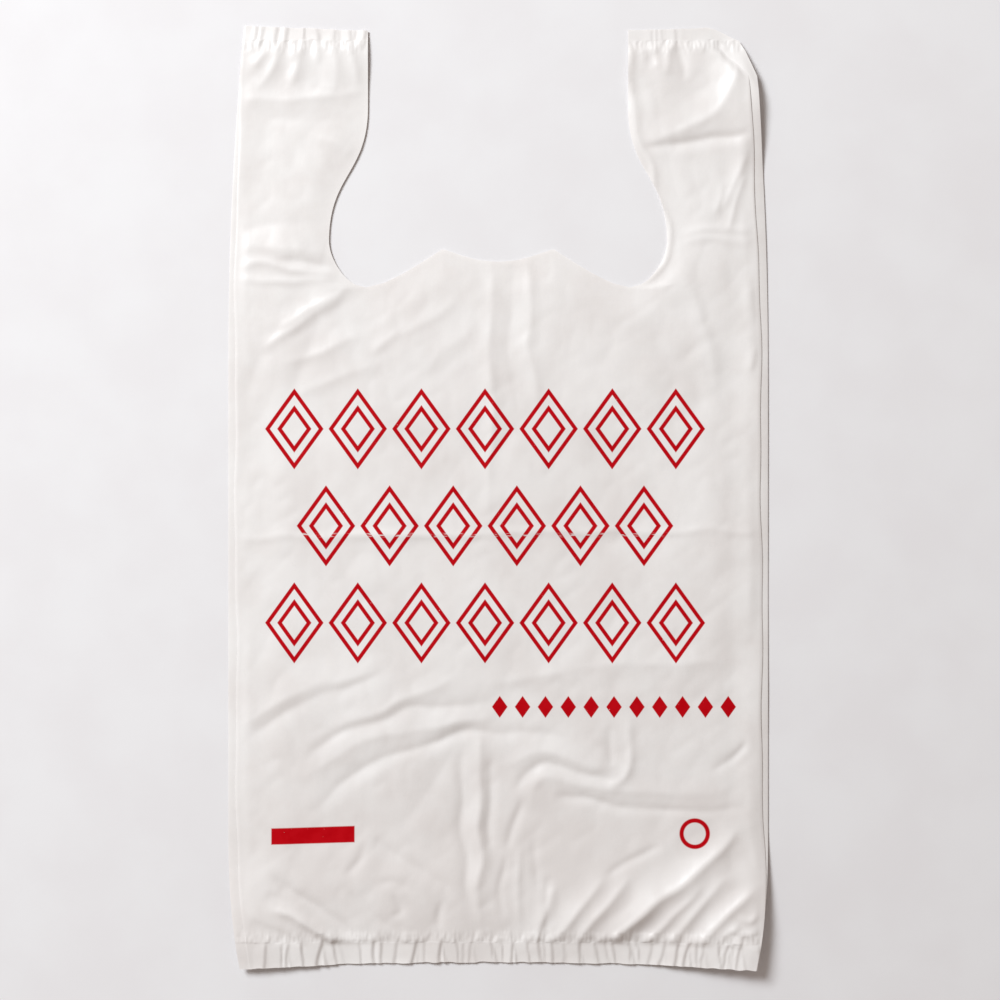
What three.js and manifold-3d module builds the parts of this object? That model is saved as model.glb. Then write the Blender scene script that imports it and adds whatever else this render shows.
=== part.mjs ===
// A plastic carrier bag with two loop handles, lying flat and empty on its back panel.
// One tube of film, folded in at both sides, sealed across both ends, with one cut for mouth and handles.
// Millimetres. +X across the bag, +Y towards the handles, +Z up from the surface it lies on.

import * as THREE from "three";
import { mergeVertices } from "three/addons/utils/BufferGeometryUtils.js";
import Module from "manifold-3d";

const wasm = await Module();
wasm.setup();

// Tube of film

const BAG_WIDTH = 305; // across the back panel, fold to fold
const BAG_LENGTH = 533; // hem corners to handle tops
const GUSSET_DEPTH = 82.5; // how far each side is folded in
const FILM = 0.3; // one layer, drawn thicker than real film
const LAYER_GAP = 0.3; // air between two layers
const HEM = 16; // from a hem corner to the straight seal
const HANDLE_SEAL = 9; // from a handle's top corner to its seal
const FRONT_INSET = 4; // the front panel's folds lie this far inside the back panel's
const FRONT_SLANT = 1.3; // the front panel leans right at the hem and left at the handles
const HEM_SHRINK = 7; // each side is drawn in at the hem
const HEM_TAPER = 75; // how far above the hem that narrowing reaches
const HANDLE_SHRINK = 9; // each side is drawn in at the handle tops
const HANDLE_TAPER = 190; // how far below the handle tops that narrowing reaches
const END_BOW = 3.4; // corners stand out this far past the middle of a sealed end

// Mouth and handles

const MOUTH_DEPTH = 148; // handle tops to the bottom of the notches
const HANDLE_GAP = 147; // between the handles at their tops
const GAP_RISE = 102; // from the notches up to where the handles run straight
const NECK_GAP = 191; // between the handles where they are slimmest
const NECK_RISE = 26; // from the notches up to that place
const NOTCH_SPAN = 150; // between the two notches
const EAR_SPAN = 63; // between the two pointed ears of the mouth
const EAR_RISE = 21.5; // ears above the notches
const EAR_DIP = 7; // middle of the mouth below the ears
const TURN_WIDTH = 27; // corner of the right handle that is turned in, along its top
const TURN_LENGTH = 29; // and along its side
const TURN_BULGE = 7; // how far the turned edge stands out from a straight one

// Gathers along the seals

const GATHER_PITCH = 10.5;
const GATHER_HEIGHT = 1.1;
const GATHER_REACH = 30; // how far past the seal they fade out

// Curled places, as shares of the half width and half length, and their share of the curl below

const CURL_HEIGHT = 8;
const CURL_REACH = 80;
const CURLS = [
  { at: [1, -1], height: 1, reach: 1 },
  { at: [-1, -1], height: 0.5, reach: 0.9 },
  { at: [1, 0.84], height: 0.5, reach: 0.78 },
];

// Wrinkles of the front panel, each a ridge between two places given as shares of the half width
// and half length: its sideways bow, its breadth and its height are multiples of those below

const WRINKLE_BREADTH = 8;
const WRINKLE_HEIGHT = 1.4;
const WRINKLES = [
  { from: [-0.9, -0.085], to: [0.9, -0.07], bow: 0, breadth: 1, height: 0.5 },
  { from: [-0.02, 0.49], to: [-0.02, 0.15], bow: 0, breadth: 1, height: 0.7 },
  { from: [0.12, 0.49], to: [0.12, 0.2], bow: 0, breadth: 1, height: 0.65 },
  { from: [-0.06, -0.5], to: [-0.06, -0.92], bow: 0, breadth: 1, height: 0.85 },
  { from: [0.37, -0.92], to: [0.92, -0.69], bow: 0.75, breadth: 1.1, height: 2.3 },
  { from: [-0.02, -0.82], to: [0.12, -0.57], bow: 0.4, breadth: 1, height: 0.9 },
  { from: [0.47, -0.61], to: [0.5, -0.46], bow: 0, breadth: 1, height: 0.9 },
  { from: [0.22, -0.6], to: [0.92, -0.64], bow: -0.5, breadth: 1.1, height: 1.15 },
  { from: [-0.92, -0.5], to: [-0.17, -0.35], bow: 0.75, breadth: 1.1, height: 1.1 },
  { from: [-0.69, -0.66], to: [0.02, -0.48], bow: 1.1, breadth: 1, height: 1 },
  { from: [-0.83, -0.79], to: [-0.5, -0.92], bow: -0.4, breadth: 1, height: 1 },
  { from: [-0.46, -0.73], to: [-0.19, -0.83], bow: 0.25, breadth: 1, height: 0.9 },
  { from: [-0.93, 0.86], to: [-0.5, 0.86], bow: 0, breadth: 1.25, height: 1.15 },
  { from: [-0.92, 0.55], to: [-0.66, 0.53], bow: 0, breadth: 1.25, height: 1.15 },
  { from: [-0.58, 0.45], to: [-0.86, 0.31], bow: 0, breadth: 1, height: 1.2 },
  { from: [0.88, 0.9], to: [0.62, 0.74], bow: 0, breadth: 1.25, height: 1.4 },
  { from: [0.66, 0.56], to: [0.95, 0.56], bow: 0, breadth: 1, height: 0.7 },
  { from: [0.66, 0.64], to: [0.75, 0.37], bow: 0.4, breadth: 1, height: 0.85 },
];

// Fineness of the film's facets

const FRONT_STEP = 12; // on the wrinkled front panel
const FLAT_STEP = 15; // on the other layers, where they curl
const CURVE_STEPS = 7; // along each curve of the mouth

// Values that follow from those above

const HALF_WIDTH = BAG_WIDTH / 2;
const HALF_LENGTH = BAG_LENGTH / 2;
const FOLD_X = HALF_WIDTH - GUSSET_DEPTH;
const LOWER_FOLD_Z = FILM + LAYER_GAP;
const SLOT_Z = LOWER_FOLD_Z + FILM;
const UPPER_FOLD_Z = SLOT_Z + LAYER_GAP;
const UPPER_GAP_Z = UPPER_FOLD_Z + FILM;
const FRONT_Z = UPPER_GAP_Z + LAYER_GAP;
const MIDDLE_Z = SLOT_Z + LAYER_GAP / 2;
const NOTCH_Y = HALF_LENGTH - MOUTH_DEPTH;
const GATHERS = Math.round(BAG_WIDTH / GATHER_PITCH);
const CLEAR = 20; // how far a cutting tool runs past the film

// Plan of the bag

function drawIn(fromEnd, shrink, taper) {
  return shrink * Math.max(0, 1 - fromEnd / taper) ** 2;
}

function backHalf(y) {
  const atHem = drawIn(y + HALF_LENGTH, HEM_SHRINK, HEM_TAPER);
  const atHandles = drawIn(HALF_LENGTH - y, HANDLE_SHRINK, HANDLE_TAPER);
  return HALF_WIDTH - atHem - atHandles;
}

function frontHalf(y) {
  return backHalf(y) - FRONT_INSET;
}

function frontMiddle(y) {
  return (-FRONT_SLANT * y) / HALF_LENGTH;
}

function endY(x) {
  const share = x / (HALF_WIDTH - HANDLE_SHRINK);
  return HALF_LENGTH - END_BOW * (1 - share * share);
}

// Heights

function wrinkle(x, y, { from, to, bow, breadth, height }) {
  const start = new THREE.Vector2(from[0] * HALF_WIDTH, from[1] * HALF_LENGTH);
  const along = new THREE.Vector2(to[0] * HALF_WIDTH, to[1] * HALF_LENGTH).sub(start);
  const here = new THREE.Vector2(x, y).sub(start);
  const share = here.dot(along) / along.lengthSq();
  if (share <= 0 || share >= 1) return 0;
  const taper = Math.sin(Math.PI * share);
  const aside = along.cross(here) / along.length() / WRINKLE_BREADTH - bow * taper;
  return WRINKLE_HEIGHT * height * Math.sqrt(taper) * Math.exp(-((aside / breadth) ** 2));
}

function pastSeal(y) {
  return Math.min(y + HALF_LENGTH - HEM, HALF_LENGTH - HANDLE_SEAL - y);
}

function gather(share, y) {
  const fade = Math.min(1, Math.max(0, 1 - pastSeal(y) / GATHER_REACH));
  const turns = GATHERS * Math.PI * share;
  const uneven = 0.7 + 0.3 * Math.sin(turns / 7);
  return GATHER_HEIGHT * fade * fade * uneven * (0.5 + 0.5 * Math.cos(turns));
}

function relief(x, y) {
  const share = (x - frontMiddle(y)) / frontHalf(y);
  const fromSide = frontHalf(y) * (1 - Math.abs(share));
  const settled = Math.min(1, Math.max(0, fromSide / HEM));
  const clearOfSeal = Math.min(1, pastSeal(y) / HEM);
  let height = gather(share, y);
  if (clearOfSeal > 0) {
    for (const ridge of WRINKLES) height += clearOfSeal * wrinkle(x, y, ridge);
  }
  return settled * height;
}

function curlShare(x, y, { at, reach }) {
  const away = Math.hypot(x - at[0] * HALF_WIDTH, y - at[1] * HALF_LENGTH);
  return away / (reach * CURL_REACH);
}

function curl(x, y) {
  let height = 0;
  for (const corner of CURLS) {
    const rest = Math.max(0, 1 - curlShare(x, y, corner) ** 2);
    height += CURL_HEIGHT * corner.height * rest * rest;
  }
  return height;
}

function level(z) {
  return (x, y) => z + curl(x, y);
}

function frontOutside(x, y) {
  return FRONT_Z + FILM + relief(x, y) + curl(x, y);
}

function frontInside(x, y) {
  return FRONT_Z + relief(x, y) + curl(x, y);
}

// Rows of plan points, from the hem to the handle tops

function spread(from, to, count) {
  return Array.from({ length: count + 1 }, (_, i) => from + ((to - from) * i) / count);
}

function rowHeights(step) {
  const low = HEM - HALF_LENGTH;
  const high = HALF_LENGTH - HANDLE_SEAL;
  const gathered = GATHER_REACH / 3;
  const count = Math.round((high - low - 2 * gathered) / step);
  const past = HALF_LENGTH + step;
  return [-past, low, ...spread(low + gathered, high - gathered, count), high, past];
}

function isGathered(y) {
  return pastSeal(y) < GATHER_REACH / 2;
}

function frontRow(y) {
  const half = frontHalf(y);
  const count = isGathered(y) ? 2 * GATHERS : Math.round(BAG_WIDTH / FRONT_STEP);
  const inside = spread(-half, half, count).slice(1, -1);
  const xs = [-half, FILM - half, ...inside, half - FILM, half];
  return { y, half, xs: xs.map((x) => x + frontMiddle(y)) };
}

function isCurled(x, y) {
  const margin = FLAT_STEP / CURL_REACH;
  return CURLS.some((corner) => curlShare(x, y, corner) < 1 + margin / corner.reach);
}

function isStraight(y) {
  return backHalf(y) === HALF_WIDTH && !isCurled(HALF_WIDTH, y) && !isCurled(-HALF_WIDTH, y);
}

function flatRow(y, from, to) {
  const edge = backHalf(y);
  const xs = spread(-edge, edge, 2 * Math.round(edge / FLAT_STEP));
  const kept = xs.filter((x) => x > from + FILM && x < to - FILM && isCurled(x, y));
  return { y, half: edge, xs: [from, ...kept, to] };
}

function flatRows(heights, from, to) {
  const needed = heights.filter((y, i) => !isStraight(y) || !isStraight(heights[i - 1]));
  return needed.map((y) => flatRow(y, from(y), to(y)));
}

// Solids

function solidOf(vertProperties, triVerts) {
  const mesh = new wasm.Mesh({
    numProp: 3,
    vertProperties: new Float32Array(vertProperties),
    triVerts: new Uint32Array(triVerts),
  });
  return new wasm.Manifold(mesh);
}

function stitch(lower, upper, lowerStart, upperStart) {
  const triangles = [];
  const lowerLast = lower.xs.length - 1;
  const upperLast = upper.xs.length - 1;
  let i = 0;
  let j = 0;
  while (i < lowerLast || j < upperLast) {
    const lowerNext = i < lowerLast ? lower.xs[i + 1] / lower.half : Infinity;
    const upperNext = j < upperLast ? upper.xs[j + 1] / upper.half : Infinity;
    if (lowerNext <= upperNext) {
      triangles.push([lowerStart + i, lowerStart + i + 1, upperStart + j]);
      i += 1;
    } else {
      triangles.push([lowerStart + i, upperStart + j + 1, upperStart + j]);
      j += 1;
    }
  }
  return triangles;
}

function slab(rows, bottom, top) {
  const lows = [];
  const highs = [];
  const starts = [];
  let points = 0;
  for (const { y, xs } of rows) {
    starts.push(points);
    points += xs.length;
    for (const x of xs) {
      lows.push(x, y, bottom(x, y));
      highs.push(x, y, top(x, y));
    }
  }
  const triangles = [];
  const wall = (a, b) => triangles.push(a, b, b + points, a, b + points, a + points);
  for (let row = 0; row + 1 < rows.length; row += 1) {
    for (const [a, b, c] of stitch(rows[row], rows[row + 1], starts[row], starts[row + 1])) {
      triangles.push(c, b, a, a + points, b + points, c + points);
    }
    wall(starts[row + 1], starts[row]);
    wall(starts[row] + rows[row].xs.length - 1, starts[row + 1] + rows[row + 1].xs.length - 1);
  }
  const last = starts[rows.length - 1];
  for (let i = 0; i + 1 < rows[0].xs.length; i += 1) wall(i, i + 1);
  for (let i = last; i + 1 < points; i += 1) wall(i + 1, i);
  return solidOf([...lows, ...highs], triangles);
}

function throughAll(outline) {
  const depth = 2 * CLEAR + FRONT_Z;
  const prism = new THREE.ExtrudeGeometry(new THREE.Shape(outline), { depth, bevelEnabled: false });
  prism.translate(0, 0, -CLEAR);
  prism.deleteAttribute("normal");
  prism.deleteAttribute("uv");
  const merged = mergeVertices(prism, 1e-4);
  return solidOf(merged.attributes.position.array, merged.index.array);
}

function mouthCut() {
  const neckX = NECK_GAP / 2;
  const gapX = HANDLE_GAP / 2;
  const notchX = NOTCH_SPAN / 2;
  const earX = EAR_SPAN / 2;
  const earY = NOTCH_Y + EAR_RISE;
  const neckY = NOTCH_Y + NECK_RISE;
  const gapY = NOTCH_Y + GAP_RISE;
  const dipY = earY - EAR_DIP;
  const corner = (neckX - notchX) / 2;
  const foot = new THREE.Vector2(notchX - corner, NOTCH_Y);
  const slope = new THREE.Vector2(earX, earY).lerp(foot, 0.5);
  const swing = (gapY - neckY) / 2;
  const right = new THREE.Path();
  right.moveTo(0, dipY);
  right.bezierCurveTo(earX / 2, dipY, earX * 0.75, earY - EAR_DIP / 4, earX, earY);
  right.bezierCurveTo(slope.x, slope.y, foot.x, foot.y, notchX, NOTCH_Y);
  right.bezierCurveTo(notchX + corner, NOTCH_Y, neckX, neckY - corner, neckX, neckY);
  right.bezierCurveTo(neckX, neckY + swing, gapX, gapY - swing, gapX, gapY);
  right.lineTo(gapX, HALF_LENGTH + CLEAR);
  const points = right.getPoints(CURVE_STEPS);
  const left = points.slice(1).map(({ x, y }) => new THREE.Vector2(-x, y));
  return throughAll([...points, ...left.reverse()]);
}

function endsOutline() {
  const xs = spread(-HALF_WIDTH, HALF_WIDTH, 2 * CURVE_STEPS);
  const hem = xs.map((x) => new THREE.Vector2(x, -endY(x)));
  const handles = xs.reverse().map((x) => new THREE.Vector2(x, endY(x)));
  return throughAll([...hem, ...handles]);
}

function turnedCorner(margin) {
  const sideY = HALF_LENGTH - TURN_LENGTH;
  const side = new THREE.Vector2(backHalf(sideY), sideY);
  const top = new THREE.Vector2(side.x - TURN_WIDTH, HALF_LENGTH);
  const along = side.clone().sub(top).normalize();
  const inward = new THREE.Vector2(along.y, -along.x);
  const bulge = top.clone().lerp(side, 0.5).addScaledVector(inward, margin - TURN_BULGE);
  top.addScaledVector(inward, margin);
  side.addScaledVector(inward, margin);
  const start = top.clone().addScaledVector(along, -2 * CLEAR);
  const end = side.clone().addScaledVector(along, 2 * CLEAR);
  return throughAll([start, top, bulge, side, end, new THREE.Vector2(end.x, start.y)]);
}

function tube() {
  const back = flatRows(rowHeights(FLAT_STEP), (y) => -backHalf(y), backHalf);
  const front = rowHeights(FRONT_STEP).map(frontRow);
  return slab(back, level(0), level(MIDDLE_Z)).add(slab(front, level(FILM), frontOutside));
}

function layer(from, to, bottom, top) {
  const heights = rowHeights(FLAT_STEP).slice(1, -1);
  return slab(flatRows(heights, from, to), level(bottom), level(top));
}

function inside() {
  const reach = HALF_WIDTH + CLEAR;
  const rows = rowHeights(FRONT_STEP).slice(1, -1).map(frontRow);
  const front = rows.map((row) => ({ ...row, xs: row.xs.slice(1, -1) }));
  const aboveFolds = layer(() => -reach, () => reach, UPPER_GAP_Z, UPPER_GAP_Z + CLEAR);
  const upper = slab(front, level(SLOT_Z), frontInside).intersect(aboveFolds);
  const lower = layer((y) => FILM - backHalf(y), (y) => backHalf(y) - FILM, FILM, LOWER_FOLD_Z);
  const between = layer(() => -FOLD_X, () => FOLD_X, FILM, UPPER_GAP_Z + LAYER_GAP / 2);
  return upper.add(lower).add(between);
}

function sideSlots() {
  const reach = HALF_WIDTH + CLEAR;
  const right = layer(() => FOLD_X + FILM, () => reach, SLOT_Z, UPPER_FOLD_Z);
  const left = layer(() => -reach, () => -FOLD_X - FILM, SLOT_Z, UPPER_FOLD_Z);
  return right.add(left);
}

function bagFilm() {
  const hollow = inside().add(sideSlots()).subtract(turnedCorner(HANDLE_SEAL));
  const trimmed = tube().intersect(endsOutline());
  return trimmed.subtract(hollow).subtract(mouthCut()).subtract(turnedCorner(0));
}

function geometryOf(solid) {
  const { vertProperties, triVerts } = solid.getMesh();
  const geometry = new THREE.BufferGeometry();
  geometry.setAttribute("position", new THREE.BufferAttribute(vertProperties, 3));
  geometry.setIndex(new THREE.BufferAttribute(triVerts, 1));
  geometry.computeBoundingBox();
  const { min, max } = geometry.boundingBox;
  geometry.translate(-(min.x + max.x) / 2, -(min.y + max.y) / 2, -min.z);
  geometry.computeVertexNormals();
  return geometry;
}

const film = new THREE.MeshStandardMaterial({ color: 0xe9e4e0, roughness: 0.4, metalness: 0 });
film.flatShading = true;

const bag = new THREE.Mesh(geometryOf(bagFilm()), film);
bag.name = "carrier_bag";

const group = new THREE.Group();
group.add(bag);

export default group;
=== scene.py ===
"""A plastic carrier bag lying flat on a pale table, seen straight from above."""

import bmesh
import bpy
import numpy as np
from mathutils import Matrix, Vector


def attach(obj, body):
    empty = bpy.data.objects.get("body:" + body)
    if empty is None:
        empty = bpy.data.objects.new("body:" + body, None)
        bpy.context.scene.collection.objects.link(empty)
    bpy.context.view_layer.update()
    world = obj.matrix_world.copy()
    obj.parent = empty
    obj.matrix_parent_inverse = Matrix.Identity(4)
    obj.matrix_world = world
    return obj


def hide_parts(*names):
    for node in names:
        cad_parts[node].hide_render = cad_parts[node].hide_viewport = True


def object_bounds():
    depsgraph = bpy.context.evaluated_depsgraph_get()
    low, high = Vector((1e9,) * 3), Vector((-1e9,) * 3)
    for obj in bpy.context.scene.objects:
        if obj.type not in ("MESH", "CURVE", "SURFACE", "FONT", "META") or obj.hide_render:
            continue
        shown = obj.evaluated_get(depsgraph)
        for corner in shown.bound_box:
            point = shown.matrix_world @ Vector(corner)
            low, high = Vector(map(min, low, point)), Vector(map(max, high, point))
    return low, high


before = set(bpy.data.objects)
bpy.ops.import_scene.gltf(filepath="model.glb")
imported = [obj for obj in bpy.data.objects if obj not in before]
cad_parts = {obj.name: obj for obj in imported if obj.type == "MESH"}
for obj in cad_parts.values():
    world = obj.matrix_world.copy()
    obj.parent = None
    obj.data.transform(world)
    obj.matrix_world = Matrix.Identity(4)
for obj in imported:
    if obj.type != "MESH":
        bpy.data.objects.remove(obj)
SOLID_LOW, SOLID_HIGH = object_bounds()
MM = 0.001

# Bag, in millimetres: the sizes of the solid that the film stands for

HALF_WIDTH = (SOLID_HIGH[0] - SOLID_LOW[0]) / 2 / MM
HALF_LENGTH = (SOLID_HIGH[1] - SOLID_LOW[1]) / 2 / MM
FOLD_X = 70.0
HEM = 13.0
HANDLE_SEAL = 8.5
HEM_SHRINK = 7.0
HEM_TAPER = 75.0
HANDLE_SHRINK = 9.0
HANDLE_TAPER = 190.0
END_BOW = 3.4
NOTCH_Y = 118.5
NOTCH_X = 75.0
NECK_X = 95.5
NECK_Y = 144.5
GAP_X = 73.5
GAP_Y = 220.5
EAR_X = 31.5
EAR_Y = 140.0
DIP_Y = 133.0
TURN_WIDTH = 27.0
TURN_LENGTH = 29.0
TURN_BULGE = 7.0

# Side edges of the front panel: how far inside the back panel's, their slant and waves, and where both meet

FRONT_INSET = 4.0
FRONT_SLANT = 1.3
FRONT_WAVES = [(0.5, 23.0, 1.0), (0.3, 9.1, 2.0)]
WAVER_SHARE = 0.5
HEM_MEET = 25.0
HEM_PART = 60.0
TOP_MEET = 30.0
TOP_PART = 80.0
LEAST_SHOWN = 0.2

# Places where all the layers curl up: shares of the half width and half length, height and reach

CURLS = [(1, -1, 8.0, 80.0), (-1, -1, 4.0, 72.0), (1, 0.835, 5.0, 44.0)]

# How far all the layers stand off the table at the ends and the side folds, and where that starts and stops

END_LIFT = 1.9
END_CREST = 13.0
HEM_FOOT = 84.0
TOP_FOOT = 40.0
LEFT_LIFT = 0.5
RIGHT_LIFT = 1.6
SIDE_CREST = 6.0
SIDE_FOOT = 22.0
EDGE_SHARE = 0.5

# Unevenness: its share or height, the size of its cells, and a seed. Then the table that they all draw from

LIFT_UNEVEN = (0.25, 28.0, 34)
WRINKLE_UNEVEN = (0.3, 26.0, 43)
SWELL = (0.7, 62.0, 3)
SKEW_SWELL = (0.25, 26.0, 5)
FACETS = (0.5, 24.0, 8)
SMALL_FACETS = (0.24, 11.0, 13)
NOISE_CELLS = 256
NOISE_OFFSET = 1000.0

# Heights of the film's layers, and how they close up near a seal

BACK_Z = 0.1
LOWER_FOLD_Z = 0.38
UPPER_FOLD_Z = 0.66
FRONT_Z = 0.95
AIR = 1.2
LEAST_GAP = 0.2
SOFT_FLOOR = 0.15
HEM_LEVEL = 0.5
SQUEEZE_START = 4.0
SQUEEZE_REACH = 24.0

# How far from a side fold, a seal and a cut edge the front panel rises to its height and its wrinkles start

SIDE_RISE = 30.0
SEAL_RISE = 40.0
CUT_RISE = 20.0
CUT_SHARE = 0.2
FREE_FROM_SIDE = 8.0
FREE_START = 2.0
FREE_FROM_SEAL = 6.0

# Grid of the film, and where it bends to follow the mouth, the notches, the handle tops and the hem

BODY_ROWS = 244
HANDLE_ROWS = 96
SIDE_COLUMNS = 50
SIDE_CROWDING = 1.15
MOUTH_COLUMNS = 104
PLAIN_COLUMNS = 14
PLAIN_CROWDING = 1.7
MOUTH_PLAIN_COLUMNS = 14
MOUTH_BLEND_Y = 60.0
TOP_BLEND_Y = 170.0
HEM_BLEND = 40.0
FOLD_TURN = 8.0
END_WAVER = 0.9
END_WAVER_CELL = 4.5
END_WAVER_SEED = 61
HEM_BAND_ROWS = 12
TOP_BAND_ROWS = 9
BAND_SPLIT = 2
WELD_DISTANCE = 1e-6
FOLD_ANGLE = np.radians(100.0)

# Pleats along the seals: where they run, their mean pitch and height, and a seed for their unevenness

HEM_PLEATS = (-147.0, 150.0, 6.6, 1.2, 21)
LEFT_PLEATS = (-145.0, -71.0, 6.0, 0.75, 22)
RIGHT_PLEATS = (74.0, 106.0, 5.6, 0.75, 23)
PLEAT_DROP = 2.3
PLEAT_SWAY = 0.7
PLEAT_SWAY_CELL = 9.0
PLEAT_SWAY_STRETCH = 2.0
PLEAT_REACH = 4.0
PLEAT_LEAN = 0.25
PITCH_SPREAD = (0.4, 1.7)
TOP_SPREAD = (0.4, 1.2)
REACH_SPREAD = (0.2, 1.2)
PUCKER_HEIGHT = 0.9
PUCKER_START = 1.2
PUCKER_REACH = 9.0
PUCKER_CELL = 5.2
PUCKER_STRETCH = 0.5
PUCKER_SEED = 51

# Wrinkles of the front panel: points along each, its breadth, and its height, which is under 0 for a valley

LEFT_HANDLE = [
    ([(-146, 224), (-112, 225), (-92, 226), (-76, 229)], 5.0, 0.96),
    ([(-130, 251), (-138, 242)], 2.4, 0.8),
    ([(-124, 256), (-126, 243), (-136, 230)], 4.0, 1.12),
    ([(-115, 256), (-117, 247)], 2.4, 0.72),
    ([(-111, 256), (-113, 246), (-117, 232)], 4.0, 1.12),
    ([(-100, 256), (-102, 246)], 2.2, 0.64),
    ([(-91, 258), (-90, 242), (-93, 229)], 7.0, 1.12),
    ([(-82, 256), (-80, 244), (-78, 234)], 3.0, 1.04),
    ([(-102, 204), (-94, 200), (-85, 192)], 3.0, 0.64),
    ([(-142, 214), (-110, 212), (-84, 213)], 4.0, -0.32),
    ([(-143, 152), (-122, 157), (-100, 156)], 5.0, -0.4),
    ([(-144, 139), (-118, 141), (-98, 138)], 8.0, 1.2),
    ([(-126, 133), (-112, 134), (-95, 130)], 2.2, -0.96),
    ([(-143, 130), (-129, 132), (-118, 128), (-93, 126)], 2.0, 0.96),
    ([(-144, 124), (-118, 122), (-92, 123)], 2.0, 0.8),
    ([(-83, 121), (-90, 113), (-106, 105), (-122, 97)], 4.0, 1.36),
    ([(-88, 112), (-104, 101), (-133, 86)], 3.0, 1.04),
    ([(-77, 90), (-98, 82), (-119, 77)], 3.4, 0.64),
    ([(-55, 94), (-70, 83)], 3.0, 0.64),
    ([(-24, 111), (-53, 92)], 3.4, 0.56),
    ([(-16, 94), (-44, 69)], 4.0, 0.56),
    ([(-67, 76), (-112, 60)], 3.6, 0.56),
]

RIGHT_HANDLE = [
    ([(76, 258), (75, 240), (77, 215), (82, 196), (89, 178)], 2.6, 1.2),
    ([(85, 186), (94, 163), (97, 145), (94, 131), (84, 121)], 1.4, 0.68),
    ([(88, 236), (91, 213), (98, 190)], 5.0, -0.45),
    ([(79, 256), (84, 247)], 2.0, 0.75),
    ([(88, 256), (91, 243)], 2.4, 0.9),
    ([(97, 255), (94, 240)], 2.6, 0.9),
    ([(103, 255), (103, 238)], 2.6, -0.68),
    ([(135, 241), (128, 222), (119, 213), (104, 206), (84, 197)], 6.5, 1.42),
    ([(83, 196), (110, 199), (130, 203), (146, 207)], 2.6, -1.27),
    ([(146, 203), (140, 190), (134, 176), (128, 163)], 3.6, 1.05),
    ([(141, 182), (135, 165), (131, 150)], 2.6, 0.75),
    ([(127, 175), (123, 159)], 2.5, 0.52),
    ([(104, 149), (124, 150), (145, 149)], 2.0, 0.52),
    ([(104, 145), (145, 144)], 2.0, 0.45),
    ([(101, 145), (110, 117), (117, 89), (124, 61)], 6.0, 0.61),
    ([(109, 137), (116, 111), (123, 86), (131, 61)], 6.0, -0.39),
    ([(142, 117), (143, 99)], 3.0, 0.9),
    ([(144, 83), (144, 71)], 2.6, 0.75),
]

MIDDLE = [
    ([(-146, -23), (-55, -22), (58, -19), (149, -19)], 2.2, 0.63),
    ([(-3, 132), (-5, 94), (-2, 55), (-5, -10)], 4.0, 0.72),
    ([(8, 131), (6, 90), (10, 50)], 4.0, -0.45),
    ([(18, 133), (17, 100), (21, 55)], 4.0, 0.72),
    ([(-5, -105), (35, -97), (80, -93), (126, -94)], 6.0, 0.9),
]

LOWER_LEFT = [
    ([(-143, -127), (-126, -118), (-95, -105), (-72, -97)], 4.5, 0.68),
    ([(-139, -133), (-127, -126), (-102, -113), (-78, -103), (-63, -96)], 3.5, -0.68),
    ([(-89, -130), (-63, -119), (-44, -111), (-27, -103)], 4.0, 0.9),
    ([(-105, -143), (-88, -133), (-63, -125), (-44, -118), (-6, -116)], 3.2, -0.98),
    ([(-110, -157), (-85, -143), (-63, -133), (-29, -127), (-5, -125)], 4.5, 0.9),
    ([(-102, -175), (-91, -162), (-72, -150), (-51, -143), (-29, -133), (-3, -132), (37, -136)], 3.5, -1.05),
    ([(-20, -143), (-20, -198), (-14, -235)], 3.5, -0.95),
    ([(-10, -137), (-10, -198), (-11, -243)], 3.5, 1.16),
    ([(-5, -149), (-5, -198)], 2.6, -0.84),
    ([(-71, -194), (-51, -205), (-29, -222)], 3.2, -1.26),
    ([(-126, -214), (-108, -228), (-89, -241), (-77, -251)], 3.0, -2.31),
    ([(-125, -234), (-108, -240), (-90, -250)], 2.6, 1.99),
    ([(-112, -240), (-100, -246), (-86, -252)], 2.0, 1.58),
    ([(-140, -240), (-128, -246), (-116, -252)], 2.4, -1.58),
    ([(-76, -196), (-78, -205), (-84, -211)], 1.8, -0.84),
    ([(-68, -218), (-59, -215), (-51, -221)], 2.4, -0.73),
    ([(-59, -224), (-55, -232), (-59, -235)], 1.7, -0.73),
    ([(-85, -222), (-61, -241)], 2.6, -0.73),
    ([(-33, -228), (-34, -243)], 2.0, -0.73),
    ([(-130, -223), (-116, -229)], 2.6, -0.63),
]

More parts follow.
